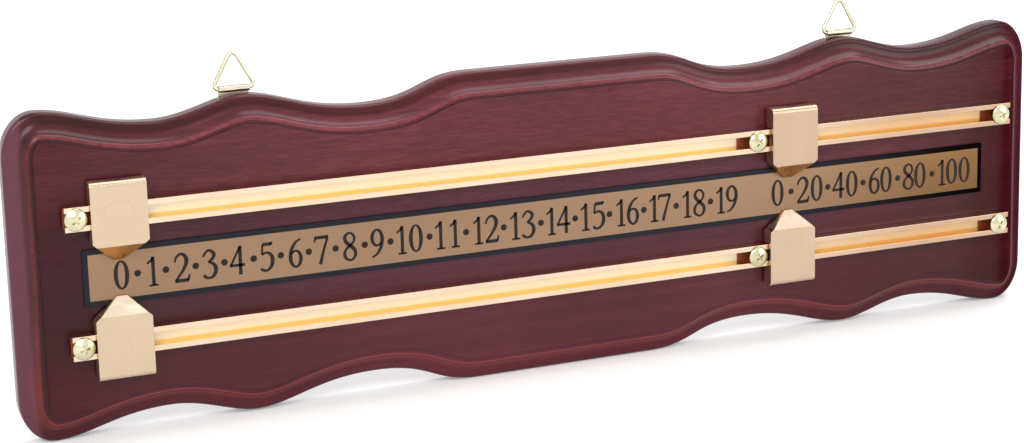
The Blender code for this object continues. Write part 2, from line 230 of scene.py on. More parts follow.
def newMaterial(name):
    material = bpy.data.materials.new(name)
    material.use_nodes = True
    tree = material.node_tree
    return material, tree, tree.nodes["Principled BSDF"]


# Metal whose tone drifts in a broad cloud, with fine marks in its roughness and its relief;
# grazing is a painted shade: a darker tone where the surface curves away
def metal(name, look, deep, tone, smoothest, roughest, grazingShade=None):
    material, tree, shader = newMaterial(name)
    marks = noise(tree, *look["marks"])
    colour = ramp(noise(tree, *look["cloud"]), [(0.35, deep), (0.65, tone)])
    # painted shade where the surface curves away from the view
    if grazingShade is not None:
        facing = Output(addNode("ShaderNodeLayerWeight", {"Blend": 0.5}, tree).outputs["Facing"])
        colour = mixColour("MIX", mapRange(facing, 0.08, 0.5, 0.0, 0.9), colour, grazingShade)
    rough = mapRange(marks, 0.3, 0.7, smoothest, roughest)
    feed(shader, {"Base Color": colour, "Roughness": rough, "Metallic": 1.0})
    addBump(shader, marks, *look["relief"])
    return material, tree, shader, colour, rough


# Each noise is its stretch along x, y and z, its detail and its roughness
drawnMetal = {"marks": ((6, 1500, 1500), 3, 0.6), "cloud": ((30, 60, 60), 2, 0.5),
              "relief": (0.003 * mm, 0.5)}
platedMetal = {"marks": ((900, 900, 900), 4, 0.6), "cloud": ((160, 160, 160), 2, 0.5),
               "relief": (0.02 * mm, 0.35)}


# ---- board

board = {
    "length": 524.8 * mm, "height": 148.4 * mm, "thickness": 16 * mm,
    "rimThickness": 9.3 * mm, "rimRadius": 2.4 * mm, "backRadius": 0.6 * mm,
    "mouldingWidth": 11.9 * mm, "ledgeWidth": 0.8 * mm, "ledgeDepth": 0.9 * mm,
    "edgeRadius": 0.2 * mm, "flatRing": 0.5 * mm, "coveShare": 0.7,
    # share of half length, share of half height, handle towards the next row, handle back
    "waves": ((0.174, 1.000, 0.45, 0.00), (0.374, 0.856, 0.50, 0.55),
              (0.590, 0.990, 0.30, 0.30), (0.743, 0.882, 0.48, 0.40)),
    "cornerHandle": 0.3, "cornerWidth": 15.5 * mm, "cornerHeight": 20.4 * mm,
    "waveSteps": 34, "cornerSteps": 30, "straightSteps": 8, "curveSteps": 16,
}
fieldY = -board["thickness"]


# A quarter of the outline. Between two knots, x is a cubic with its own handles and z an S-curve
# 3(1-t)t^2 + t^3; the corner is a quarter of an ellipse
def quarterOutline():
    half = board["length"] / 2
    top = board["height"] / 2
    wide, high, straight = board["cornerWidth"], board["cornerHeight"], board["straightSteps"]
    cornerX, cornerZ = half - wide, top - high
    knots = [(x * half, z * top, out, back) for x, z, out, back in board["waves"]]
    knots.append((cornerX, top, 0, board["cornerHandle"]))
    x = [np.linspace(0, knots[0][0], straight + 1)]
    z = [np.full(straight + 1, knots[0][1])]
    t = np.linspace(0, 1, board["waveSteps"] + 1)[1:]
    for (x0, z0, out, _), (x1, z1, _, back) in zip(knots, knots[1:]):
        weights = 3 * (1 - t) ** 2 * t * out + 3 * (1 - t) * t**2 * (1 - back) + t**3
        x.append(x0 + (x1 - x0) * weights)
        z.append(z0 + (z1 - z0) * (3 * (1 - t) * t**2 + t**3))
    turn = np.linspace(0, math.pi / 2, board["cornerSteps"] + 1)[1:]
    x += [cornerX + wide * np.sin(turn), np.full(straight, half)]
    z += [cornerZ + high * np.cos(turn), np.linspace(cornerZ, 0, straight + 1)[1:]]
    return np.concatenate(x), np.concatenate(z)


# The whole outline, clockwise from the middle of the top edge, and its outward normals
def wholeOutline():
    x, z = quarterOutline()
    fullX = np.concatenate([x, x[-2::-1], -x[1:], -x[-2:0:-1]])
    fullZ = np.concatenate([z, -z[-2::-1], -z[1:], z[-2:0:-1]])
    points = np.stack([fullX, fullZ], axis=1)
    ahead = np.roll(points, -1, axis=0) - points
    ahead /= np.linalg.norm(ahead, axis=1, keepdims=True)
    tangent = ahead + np.roll(ahead, 1, axis=0)
    tangent /= np.linalg.norm(tangent, axis=1, keepdims=True)
    return points, np.stack([-tangent[:, 1], tangent[:, 0]], axis=1)


# The routed edge as (inset, depth behind the field): a small round at the back, a round nose, a
# hollow arc and a round one that meet at twice the angle of the whole rise, a ledge, the field
def mouldingProfile():
    thick, nose, ledge = board["thickness"], board["rimRadius"], board["ledgeDepth"]
    back, edge, flat = board["backRadius"], board["edgeRadius"], board["flatRing"]
    width, steps = board["mouldingWidth"], board["curveSteps"] + 1
    rimDepth = thick - board["rimThickness"]
    run = width - board["ledgeWidth"] - nose
    steep = 2 * math.atan2(rimDepth - ledge, run)
    hollow = board["coveShare"] * run / math.sin(steep)
    bulge = (1 - board["coveShare"]) * run / math.sin(steep)
    a = np.linspace(0, math.pi / 2, steps)
    up = np.linspace(0, steep, steps)[1:]
    down = np.linspace(steep, 0, steps)[1:]
    few = a[::4]
    return np.concatenate([
        np.array([[back + flat, thick]]),
        np.stack([back - back * np.sin(a), thick - back + back * np.cos(a)], axis=1),
        np.stack([nose - nose * np.cos(a), rimDepth + nose - nose * np.sin(a)], axis=1),
        np.stack([nose + hollow * np.sin(up), rimDepth - hollow * (1 - np.cos(up))], axis=1),
        np.stack([nose + run - bulge * np.sin(down), ledge + bulge * (1 - np.cos(down))], axis=1),
        np.array([[width, ledge]]),
        np.stack([width + edge - edge * np.cos(few), edge - edge * np.sin(few)], axis=1),
        np.array([[width + edge + flat, 0]]),
    ])


# Carries a profile of (inset, depth) around an outline in XZ: a point lies on the outline, moved
# inwards along its normal by the inset, at the front's Y plus the depth; both ends are closed flat
def carryAround(name, outline, profile, frontY, material, sharp=35):
    line, normals = outline
    ring = line - normals * profile[:, 0][:, None, None]
    y = np.broadcast_to((frontY + profile[:, 1])[:, None], ring.shape[:2])
    points = np.stack([ring[..., 0], y, ring[..., 1]], axis=-1)
    return newPiece(name, points, tubeFaces(*ring.shape[:2]), material, sharp)


def boxCutter(low, high):
    low, high = np.array(low), np.array(high)
    corner = [(x, y, z) for x in (0, 1) for y, z in ((0, 0), (0, 1), (1, 1), (1, 0))]
    return newPiece("cutter", low + (high - low) * np.array(corner), tubeFaces(2, 4))


# A turned surface about an axis along Y: radius and depth carried round a circle
def turned(name, profile, centre, material, steps=48, towards=-1):
    a = np.linspace(0, 2 * math.pi, steps, endpoint=False)
    radius = profile[:, :1]
    points = np.stack([
        centre[0] + radius * np.cos(a),
        centre[1] + towards * profile[:, 1:] * np.ones(steps),
        centre[2] + radius * np.sin(a),
    ], axis=-1)
    return newPiece(name, points, [gridFaces(len(profile), steps, closeColumns=True)], material)


# A round cutter between two depths in front of its centre
def drill(centre, radius, low, high):
    profile = np.array([(0, low), (radius, low), (radius, high), (0, high)])
    return turned("cutter", profile, centre, None)


# ---- wood

wood = {
    "stain": ((0.18, srgb(78, 25, 36)), (0.35, srgb(96, 36, 47)), (0.52, srgb(114, 50, 62))),
    "streaks": ((7, 40, 210), 5, 0.55), "streakWeight": 0.32,
    "clouds": ((9, 14, 22), 3, 0.5), "cloudWeight": 0.38,
    "flecks": ((110, 300, 1050), 3, 0.6), "fleckWeight": (-30 * mm, 30 * mm, 0.2, 0.55),
    "pores": ((70, 300, 1300), 2, 0.5), "poreShare": (0.62, 0.74, 0.0, 0.3),
    "pore": srgb(46, 12, 20), "relief": (0.012 * mm, 0.4),
    # the red band behind the ledge, at the upper and at the lower edge: the distance in which it
    # rises, where it starts to fall and the distance in which it falls
    "edge": srgb(136, 62, 68), "edgeLow": srgb(158, 54, 56), "bandRise": (0.15 * mm, 0.9 * mm),
    "bandHold": (0.4 * mm, 1.1 * mm), "bandFall": (1.6 * mm, 5.5 * mm),
    "wear": ((330, 330, 330), 4, 0.65), "wearShare": (0.35, 0.65, 0.25, 0.75), "leastLow": 0.7,
    # shine along x, and how much of it the field loses at either end
    "shine": (240 * mm, 252 * mm, 0.3, 0.05), "leastShine": 0.02, "roughness": 0.24,
    "dull": ((0.21, 0.245, 0.0, 0.15), (-0.21, -0.245, 0.0, 0.06)),
}

# Washes of colour, mostly painted shade and one painted sheen: how each is mixed in, its colour, and
# the fades whose product is its strength.
# A fade runs softly (fade) or evenly (mapRange) from one place to another, from 0 to 1 or between
# two strengths; along and level are x and z without their signs, and depth starts at the field
onField = (mapRange, "depth", 0.3 * mm, 1 * mm, 1.0, 0.0)
paintedShadeAndSheen = (
    # painted shade at both ends, where the light falls off; the lower half is darker
    ("MULTIPLY", srgb(198, 168, 178), (fade, "along", 0.06, 0.25)),
    ("MULTIPLY", srgb(232, 218, 230), (fade, "z", 30 * mm, -50 * mm)),
    # painted shade at mid height: both ends, and beside the plate but for its right end
    ("MULTIPLY", srgb(232, 176, 200), (fade, "along", 0.2, 0.24),
     (fade, "level", 48 * mm, 20 * mm), (mapRange, "depth", 0.3 * mm, 1 * mm, 1.0, 0.5)),
    ("MULTIPLY", srgb(220, 244, 248), (fade, "x", 0.12, 0.17, 1.0, 0.0),
     (fade, "level", 27 * mm, 21 * mm), onField),
    # painted sheen on the left end's outer edge
    ("MIX", srgb(118, 70, 84), (fade, "x", -252 * mm, -256 * mm, 0.0, 0.5)),
    # painted shade: the hollow is darkest and reddest at its foot along the upper edge
    ("MULTIPLY", srgb(190, 118, 130), (fade, "depth", 6 * mm, 6.6 * mm),
     (mapRange, "depth", 6.8 * mm, 7.5 * mm, 1.0, 0.0), (fade, "z", 10 * mm, 45 * mm),
     (fade, "along", 244 * mm, 252 * mm, 1.0, 0.0)),
)
# painted shade in the ledge's corner, strongest along the field's upper edge
ledgeCornerShade = (
    (mapRange, "depth", 0.2 * mm, 0.4 * mm), (mapRange, "depth", 0.8 * mm, 0.88 * mm, 1.0, 0.5),
    (fade, "z", -20 * mm, 30 * mm, 0.05, 0.9),
)
# painted shade: the left end's slope is darker
paintedSlopeShade = (
    ("MULTIPLY", srgb(208, 167, 170), (mapRange, "x", -249 * mm, -251.5 * mm),
     (fade, "depth", 5.8 * mm, 4 * mm)),
)


def strengthOf(places, fades):
    share = 1.0
    for run, place, *limits in fades:
        share = run(places[place], *limits) * share
    return share


def washed(colour, places, washes):
    for kind, tone, *fades in washes:
        colour = mixColour(kind, strengthOf(places, fades), colour, tone)
    return colour


# Faint streaks along the grain, broad clouds, flecks that weaken downwards, pores, then the washes
# of painted shade and sheen
def stainedWood():
    material, tree, shader = newMaterial("stained_hardwood")
    x, y, z = axes(tree)
    depth = y - fieldY
    places = {"x": x, "z": z, "depth": depth, "along": abs(x), "level": abs(z)}
    streaks = noise(tree, *wood["streaks"]) * wood["streakWeight"]
    clouds = noise(tree, *wood["clouds"]) * wood["cloudWeight"]
    flecks = (noise(tree, *wood["flecks"]) - 0.5) * fade(z, *wood["fleckWeight"])
    colour = ramp(streaks + clouds + flecks, wood["stain"])
    pores = noise(tree, *wood["pores"])
    colour = mixColour("MIX", mapRange(pores, *wood["poreShare"]), colour, wood["pore"])
    colour = washed(colour, places, paintedShadeAndSheen)
    # the stain is thin and red on the round-over, speckled above and broad below
    low = fade(z, 0.0, -50 * mm)
    rise, hold, fall = (mapRange(low, 0.0, 1.0, *wood[key])
                        for key in ("bandRise", "bandHold", "bandFall"))
    over = depth - board["ledgeDepth"]
    risen = fade(over / rise, 0.0, 1.0)
    fallen = fade((over - hold) / fall, 0.0, 1.0, 1.0, 0.0)
    worn = mapRange(noise(tree, *wood["wear"]), *wood["wearShare"])
    worn = calculate("MAXIMUM", worn, low * wood["leastLow"])
    edge = mixColour("MIX", low, wood["edge"], wood["edgeLow"])
    colour = mixColour("MIX", risen * fallen * worn, colour, edge)
    # painted shade in the ledge's corner
    corner = (1.0 - risen) * strengthOf(places, ledgeCornerShade)
    colour = mixColour("MIX", corner, colour, wood["pore"])
    colour = washed(colour, places, paintedSlopeShade)
    right, left = (fade(x, *limits) for limits in wood["dull"])
    shine = fade(x, *wood["shine"]) - (right + left) * strengthOf(places, [onField])
    feed(shader, {
        "Base Color": colour, "Roughness": wood["roughness"],
        "Specular IOR Level": calculate("MAXIMUM", shine, wood["leastShine"]),
    })
    addBump(shader, pores, *wood["relief"])
    return material


boardPiece = carryAround(
    "board_wood", wholeOutline(), mouldingProfile(), fieldY, stainedWood(), sharp=30
)
print("stage: board surface", len(boardPiece.data.polygons), "faces")

# ---- hangers: sizes first, because the board is let in for them

hanger = {
    # share of half the board's length, and rise above its top
    "places": {"left": (-0.5993, 1.6 * mm), "right": (0.5906, 1.3 * mm)},
    "strapWidth": 14.2 * mm, "strapLength": 30 * mm, "sheet": 0.5 * mm, "slit": 0.4 * mm,
    "wire": 0.9 * mm, "pivotGap": 0.15 * mm, "float": 1.3 * mm, "gap": 0.3 * mm,
    "footReach": 3.1 * mm, "peak": 18.5 * mm, "footRadius": 2.0 * mm, "topRadius": 2.4 * mm,
    "screwDrops": {"top": 14 * mm, "bottom": 25 * mm}, "round": 0.1 * mm, "overshoot": 2 * mm,
    "sleeveSteps": 56, "wireSteps": 24,
}


def hangerPlace(end):
    share, rise = hanger["places"][end]
    sleeve = hanger["wire"] + hanger["pivotGap"] + hanger["sheet"]
    return share * board["length"] / 2, -hanger["float"] - sleeve, board["height"] / 2 + rise


recesses = []
for end in hanger["places"]:
    x, _, z = hangerPlace(end)
    half = hanger["strapWidth"] / 2 + hanger["gap"]
    deep = hanger["float"] + hanger["sheet"] + hanger["gap"]
    low = (x - half, -deep, z - hanger["strapLength"] - hanger["gap"])
    high = (x + half, hanger["overshoot"], board["height"] / 2 + hanger["overshoot"])
    recesses.append(boxCutter(low, high))
cutAway(boardPiece, recesses, sharp=30)
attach(boardPiece, "board")
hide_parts("backboard")
print("stage: board let in for the hangers")

# ---- number plate

plate = {
    "length": 463.9 * mm, "height": 25.7 * mm, "thickness": 0.8 * mm,
    "centreX": -0.35 * mm, "centreZ": 0.35 * mm, "backY": fieldY - 0.3 * mm, "border": 2.4 * mm,
    "borderBlur": 0.04 * mm, "cornerRadius": 0.3 * mm, "edgeRadius": 0.12 * mm, "specular": 0.2,
    # far and inkFar are painted shade: the gold and the printed border darken towards the right-hand
    # end
    "gold": srgb(162, 131, 105), "goldDark": srgb(148, 117, 92), "far": srgb(206, 192, 160),
    "ink": srgb(24, 27, 36), "inkFar": srgb(10, 8, 8), "darker": (0.08, 0.23),
    "brushed": ((40, 1, 2600), 3, 0.6), "cloud": ((8, 1, 30), 2, 0.5),
}
plateFront = plate["backY"] - plate["thickness"]


# A rectangle's outline with small round corners, clockwise from above, and its normals
def rectangleOutline(centreX, centreZ, length, height, radius, steps=4):
    corners, normals = [], []
    for signX, signZ, start in ((1, 1, 90), (1, -1, 0), (-1, -1, -90), (-1, 1, -180)):
        middleX = centreX + signX * (length / 2 - radius)
        middleZ = centreZ + signZ * (height / 2 - radius)
        quarter = arc(0, 0, 1, start, start - 90, steps)
        corners.append(np.array([middleX, middleZ]) + quarter * radius)
        normals.append(quarter)
    return np.concatenate(corners), np.concatenate(normals)


def printedGold():
    material, tree, shader = newMaterial("gold_plate")
    brushed = noise(tree, *plate["brushed"])
    tone = brushed * 0.5 + noise(tree, *plate["cloud"]) * 0.5
    gold = ramp(tone, [(0.3, plate["goldDark"]), (0.7, plate["gold"])])
    # the printed border: how far the point lies inside the plate's nearest edge
    x, _, z = axes(tree, (-plate["centreX"], 0, -plate["centreZ"]))
    inside = calculate("MINIMUM", plate["length"] / 2 - abs(x), plate["height"] / 2 - abs(z))
    border, blur = plate["border"], plate["borderBlur"]
    inked = mapRange(inside, border - blur, border + blur, 1.0, 0.0)
    # painted shade towards the right-hand end: darker gold, blacker border and less shine
    far = fade(x, *plate["darker"])   # towards the right-hand end
    gold = mixColour("MULTIPLY", far, gold, plate["far"])
    ink = mixColour("MIX", far, plate["ink"], plate["inkFar"])
    feed(shader, {
        "Base Color": mixColour("MIX", inked, gold, ink),
        "Metallic": mapRange(inked, 0.0, 1.0, 0.75, 0.0),
        "Specular IOR Level": mapRange(far, 0.0, 1.0, plate["specular"], 0.0),
        "Roughness": mapRange(brushed, 0.3, 0.7, 0.36, 0.46),
    })
    addBump(shader, brushed, 0.004 * mm, 0.4)
    return material


plateOutline = rectangleOutline(
    plate["centreX"], plate["centreZ"], plate["length"], plate["height"], plate["cornerRadius"]
)
bend = np.linspace(0, math.pi / 2, 4)
plateProfile = np.concatenate([
    [[0, plate["thickness"]]],
    plate["edgeRadius"] * np.stack([1 - np.cos(bend), 1 - np.sin(bend)], axis=1),
])
platePiece = carryAround("number_plate", plateOutline, plateProfile, plateFront, printedGold())
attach(platePiece, "board")
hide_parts("scale_plate")
print("stage: number plate")

# ---- printed numbers, as thin ribbons of ink on the plate

printing = {
    "height": 13.3 * mm, "baseline": -6.375 * mm, "unit": 25 * mm, "originX": -229.55 * mm,
    "ink": srgb(40, 33, 32), "inkDeep": srgb(30, 25, 25), "film": 0.04 * mm, "steps": 7,
    "widen": 0.85, "extra": 0.04, "grain": ((900, 900, 900), 3, 0.6),
    "zeroHalf": 0.257, "zeroThin": 0.07, "zeroSwell": 0.07, "zeroPower": 1.5, "zeroSteps": 56,
    # a dot is a low drum with a slightly smaller front: (inset, share of the film)
    "dotRadius": 1.53 * mm, "dotZ": 0.2 * mm, "dotSteps": 32,
    "dotProfile": ((0, 0), (0, 0.7), (0.02 * mm, 1)),
}

# Strokes of each digit as (across, up, width) in thousandths of the digit's height
digitStrokes = {
    "1": (((30, 990, 95), (30, 10, 95)), ((-125, 17, 34), (185, 17, 34)), ((40, 990, 20),
          (-20, 880, 50), (-170, 770, 30))),
    "2": (((-240, 700, 30), (-170, 870, 50), (-30, 965, 60), (100, 900, 100), (165, 740, 120),
          (120, 550, 100), (0, 350, 70), (-140, 170, 50), (-220, 60, 40)), ((-250, 50, 100),
          (210, 50, 100)), ((190, 40, 70), (250, 240, 20))),
    "3": (((-220, 760, 30), (-170, 860, 50), (-30, 975, 55), (140, 860, 100), (110, 700, 85),
          (-50, 565, 35)), ((-50, 575, 30), (130, 480, 90), (200, 290, 120), (110, 80, 85),
          (-60, 20, 50), (-190, 90, 90), (-215, 150, 50))),
    "4": (((100, 1000, 98), (100, 0, 98)), ((110, 985, 45), (-240, 330, 45)), ((-265, 335, 70),
          (260, 335, 70))),
    "5": (((-150, 940, 90), (170, 940, 90)), ((130, 920, 90), (200, 1000, 20)), ((-140, 930, 40),
          (-170, 590, 40)), ((-170, 585, 35), (-20, 650, 55), (130, 580, 90), (195, 400, 120),
          (150, 170, 100), (0, 30, 60), (-150, 50, 75), (-215, 120, 60))),
    "6": (((180, 985, 30), (0, 880, 60), (-140, 660, 90), (-195, 380, 115), (-150, 140, 90),
          (-20, 25, 50), (110, 100, 80), (170, 290, 105), (130, 490, 80), (20, 585, 50),
          (-100, 550, 40), (-160, 480, 30)),),
    "7": (((-240, 945, 90), (240, 945, 90)), ((-225, 960, 40), (-250, 790, 20)), ((215, 930, 50),
          (60, 470, 70), (-70, 0, 95))),
    "8": (((0, 530, 60), (130, 650, 50), (165, 800, 70), (90, 940, 50), (-40, 975, 50),
          (-160, 880, 90), (-165, 730, 100), (-60, 590, 110), (70, 480, 110), (180, 340, 100),
          (185, 170, 90), (90, 40, 55), (-30, 20, 50), (-170, 120, 80), (-195, 280, 80),
          (-130, 420, 55)),),
}
digitStrokes["9"] = tuple(
    tuple((-across, 1000 - up, wide) for across, up, wide in stroke) for stroke in digitStrokes["6"]
)

# Each label with its digits' centres, in pointer widths from the plate's gold left end
labels = (
    ("0", 0.559), ("1", 1.109), ("2", 1.638), ("3", 2.146), ("4", 2.649), ("5", 3.195),
    ("6", 3.737), ("7", 4.228), ("8", 4.762), ("9", 5.282), ("10", 5.759, 6.043),
    ("11", 6.517, 6.806), ("12", 7.276, 7.559), ("13", 8.026, 8.302), ("14", 8.766, 9.025),
    ("15", 9.474, 9.758), ("16", 10.224, 10.490), ("17", 10.930, 11.167), ("18", 11.645, 11.918),
    ("19", 12.381, 12.625), ("0", 13.656), ("20", 14.236, 14.546), ("40", 15.050, 15.356),
    ("60", 15.890, 16.157), ("80", 16.689, 16.964), ("100", 17.482, 17.725, 18.029),
)
dots = (
    0.845, 1.35, 1.889, 2.41, 2.948, 3.455, 3.981, 4.488, 5.048, 5.546, 6.311, 7.037, 7.798, 8.557,
    9.267, 9.988, 10.719, 11.414, 12.162, 13.962, 14.803, 15.62, 16.436, 17.252,
)


# A smooth path through the rows: a cubic in which each point's slope is half the step between
# its neighbours; the rows are (across, up, width), and each width is made bolder
def smoothPath(rows, closed=False):
    rows = np.array(rows) / 1000
    rows[:, 2] = rows[:, 2] * printing["widen"] + printing["extra"]
    if closed:
        padded = np.concatenate([rows[-1:], rows, rows[:2]])
    else:
        padded = np.concatenate([2 * rows[:1] - rows[1:2], rows, 2 * rows[-1:] - rows[-2:-1]])
    count = len(padded) - 3
    t = np.linspace(0, count, count * printing["steps"] + 1)[:-1 if closed else None]
    k = np.minimum(t.astype(int), count - 1)
    f = (t - k)[:, None]
    before, here, after, beyond = (padded[k + j] for j in range(4))
    return 0.5 * (2 * here + (after - before) * f
                  + (2 * before - 5 * here + 4 * after - beyond) * f**2
                  + (3 * here - before - 3 * after + beyond) * f**3)


# A ribbon: each side is the path moved across by half its width, and the film has two sides
def ribbon(path, closed=False):
    if closed:
        along = np.roll(path, -1, axis=0) - np.roll(path, 1, axis=0)
    else:
        along = np.gradient(path, axis=0)
    along = along[:, :2] / np.linalg.norm(along[:, :2], axis=1, keepdims=True)
    across = np.stack([-along[:, 1], along[:, 0]], axis=1) * path[:, 2:3] / 2
    left, right = path[:, :2] + across, path[:, :2] - across
    sides = np.stack([left, left, right, right])
    depth = np.array([0, 1, 1, 0.0])[:, None] * np.ones(len(path))
    faces = [gridFaces(4, len(path), closeRows=True, closeColumns=closed)]
    if not closed:
        last = len(path) - 1
        faces.append([[k * len(path) for k in range(4)]])
        faces.append([[k * len(path) + last for k in (3, 2, 1, 0)]])
    return np.concatenate([sides, depth[..., None]], axis=2).reshape(-1, 3), faces


# The strokes of a digit as ribbons; the 0 is an ellipse that is thin at its top and bottom
def digitParts(digit):
    if digit == "0":
        a = np.linspace(0, 2 * math.pi, printing["zeroSteps"], endpoint=False)
        swell = np.abs(np.cos(a)) ** printing["zeroPower"]
        wide = printing["zeroThin"] + printing["zeroSwell"] * swell
        across = (printing["zeroHalf"] - wide / 2) * np.cos(a)
        path = np.stack([across, 0.5 + (0.5 - wide / 2) * np.sin(a), wide], axis=1)
        return [ribbon(path, closed=True)]
    closed = digit == "8"
    return [ribbon(smoothPath(rows, closed), closed) for rows in digitStrokes[digit]]


def inkFilm():
    material, tree, shader = newMaterial("number_ink")
    grain = noise(tree, *printing["grain"])
    feed(shader, {
        "Base Color": ramp(grain, [(0.3, printing["inkDeep"]), (0.7, printing["ink"])]),
        "Roughness": mapRange(grain, 0.3, 0.7, 0.34, 0.46), "Specular IOR Level": 0.2,
    })
    return material


def buildNumbers():
    points, faces, count = [], [], 0

    def add(block, blockFaces):
        nonlocal count
        points.append(block)
        faces.extend((np.asarray(rows) + count).tolist() for rows in blockFaces)
        count += len(block)

    for label, *centres in labels:
        for digit, centre in zip(label, centres):
            middle = printing["originX"] + centre * printing["unit"]
            for flat, flatFaces in digitParts(digit):
                add(np.stack([
                    middle + flat[:, 0] * printing["height"],
                    plateFront - flat[:, 2] * printing["film"],
                    printing["baseline"] + flat[:, 1] * printing["height"],
                ], axis=1), flatFaces)
    steps = printing["dotSteps"]
    a = np.linspace(0, 2 * math.pi, steps, endpoint=False)
    for centre in dots:
        middle = printing["originX"] + centre * printing["unit"]
        add(np.concatenate([np.stack([
            middle + (printing["dotRadius"] - inset) * np.cos(a),
            np.full(steps, plateFront - depth * printing["film"]),
            printing["dotZ"] + (printing["dotRadius"] - inset) * np.sin(a),
        ], axis=1) for inset, depth in printing["dotProfile"]]), tubeFaces(3, steps))
    piece = newPiece("printed_numbers", np.concatenate(points), faces, inkFilm(), sharp=40)
    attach(piece, "board")
    return piece


numbersPiece = buildNumbers()
print("stage: numbers", len(numbersPiece.data.polygons), "faces")

# ---- rails

rail = {
    "length": 484.8 * mm, "centreX": 2.85 * mm, "centreZ": -0.45 * mm, "height": 10.95 * mm,
    "depth": 5.7 * mm, "wall": 1.0 * mm, "lip": 2.5 * mm, "offset": 28.9 * mm,
    "backY": fieldY - 0.3 * mm, "round": 0.16 * mm, "holeRadius": 2.3 * mm,
    "holeFrom": -1 * mm, "holeTo": 2 * mm,
    "screws": {"left": -234.75 * mm, "middle": 98.15 * mm, "right": 239.25 * mm},
    # far and channelFar are painted shade towards the right-hand end
    "gold": srgb(239, 216, 191), "goldDeep": srgb(233, 208, 178), "far": srgb(222, 207, 200),
    # inside the channel, painted reflection and shade: orange below, pale above, and dark by the
    # screws
    "channelSpan": (-4 * mm, 2 * mm),
    "channel": ((0.31, srgb(255, 222, 140)), (0.38, srgb(255, 243, 212))),
    "channelScrewShade": srgb(156, 74, 34), "channelFar": srgb(238, 213, 184),
    "beside": (9.0 * mm, 9.8 * mm, 1.0, 0.0), "paintedShadeSpan": (0.06, 0.2),
}
railFront = rail["backY"] - rail["depth"]
railZ = {"upper": rail["centreZ"] + rail["offset"], "lower": rail["centreZ"] - rail["offset"]}


# A profile of (depth in front of a plane, height) carried along X between two ends
def carryAlongX(name, profile, low, high, planeY, middleZ, material):
    profile = np.array(profile, float)
    x = np.array([low, high])[:, None] * np.ones(len(profile))
    points = np.stack([
        x, np.tile(planeY - profile[:, 0], (2, 1)), np.tile(middleZ + profile[:, 1], (2, 1)),
    ], axis=-1)
    return newPiece(name, points, tubeFaces(2, len(profile)), material)


# The rails carry painted shade towards the right-hand end, and are matt inside the channel
def railFinish():
    material, tree, shader, colour, rough = metal(
        "polished_gold", drawnMetal, rail["goldDeep"], rail["gold"], 0.11, 0.15
    )
    x, y, z = axes(tree, (0, 0, -rail["centreZ"]))
    # the height above the middle of the rail that the point belongs to
    height = z - calculate("SIGN", z) * rail["offset"]
    within = rail["height"] / 2 - rail["wall"] + 0.05 * mm
    inside = (calculate("GREATER_THAN", y, railFront + 0.25 * mm)
              * calculate("LESS_THAN", abs(height), within))
    # painted reflection and shade inside the channel, with painted shade beside each screw
    channel = ramp(mapRange(height, *rail["channelSpan"]), rail["channel"])
    nearest = calculate("MINIMUM", *[abs(x - screw) for screw in rail["screws"].values()])
    channel = mixColour("MIX", fade(nearest, *rail["beside"]), channel, rail["channelScrewShade"])
    colour = mixColour("MIX", inside, colour, channel)
    # painted shade towards the right-hand end
    far = mixColour("MIX", inside, rail["far"], rail["channelFar"])
    feed(shader, {
        "Base Color": mixColour("MULTIPLY", fade(x, *rail["paintedShadeSpan"]), colour, far),
        "Metallic": mapRange(inside, 0.0, 1.0, 1.0, 0.3), "Roughness": rough + inside * 0.3,
    })
    return material


railGold = railFinish()


def buildRail(side):
    half = rail["height"] / 2
    slot = half - rail["lip"]
    inner = half - rail["wall"]
    lipBack = rail["depth"] - rail["wall"]
    upper = [(0, half), (rail["depth"], half), (rail["depth"], slot), (lipBack, slot),
             (lipBack, inner), (rail["wall"], inner)]
    section = upper + [(depth, -height) for depth, height in reversed(upper)]
    low = rail["centreX"] - rail["length"] / 2
    piece = carryAlongX("gold_rail_" + side, section, low, low + rail["length"],
                        rail["backY"], railZ[side], railGold)
    cutAway(piece, [
        drill((x, rail["backY"], railZ[side]), rail["holeRadius"], rail["holeFrom"], rail["holeTo"])
        for x in rail["screws"].values()])
    roundEdges(piece, rail["round"])
    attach(piece, "board")
    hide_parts("rail_" + side)


for side in railZ:
    buildRail(side)
print("stage: rails")

# ---- screws

railScrew = {
    "head": 5.0 * mm, "edge": 0.5 * mm, "rise": 1.7 * mm, "shank": 2.0 * mm, "length": 15.3 * mm,
    "point": 2.5 * mm, "arm": 2.8 * mm, "width": 1.15 * mm, "deep": 1.25 * mm, "taper": 0.55,
    "seatY": railFront - 0.3 * mm,
    "turns": {("upper", "left"): 38, ("upper", "middle"): 52, ("upper", "right"): 25,
              ("lower", "left"): 14, ("lower", "middle"): 33, ("lower", "right"): 61},
    "metal": srgb(232, 226, 194), "metalDeep": srgb(206, 200, 160),
}
strapScrew = {
    "head": 2.8 * mm, "edge": 0.3 * mm, "rise": 0.4 * mm, "shank": 1.2 * mm, "length": 9.1 * mm,
    "point": 1.6 * mm, "arm": 1.5 * mm, "width": 0.55 * mm, "deep": 0.4 * mm, "taper": 0.7,
    "turn": 20,
}


# A screw's side as (radius, height above its seat): a domed head, a round rim, a shank, a point
def screwProfile(size):
    head, edge, rise = size["head"], size["edge"], size["rise"]
    dome = (head**2 + rise**2) / (2 * rise)
    a = np.linspace(0, math.asin(head / dome), 25)
    top = np.stack([dome * np.sin(a), edge + rise - dome * (1 - np.cos(a))], axis=1)
    # the rim turns down on a circle of half the edge's height
    turn = edge * 0.5
    a = np.linspace(0.9, -math.pi / 2, 8)
    rim = np.stack([head - turn + turn * np.cos(a), turn + turn * np.sin(a)], axis=1)
    keep = top[:, 0] < head - 0.6 * turn
    shank, end = size["shank"], -size["length"]
    return np.concatenate([top[keep], rim, [(shank, 0), (shank, size["point"] + end), (0, end)]])


# The matrix that turns rows of (x, z) by an angle in degrees
def turnedBy(degrees):
    a = math.radians(degrees)
    return np.array([[math.cos(a), math.sin(a)], [-math.sin(a), math.cos(a)]])


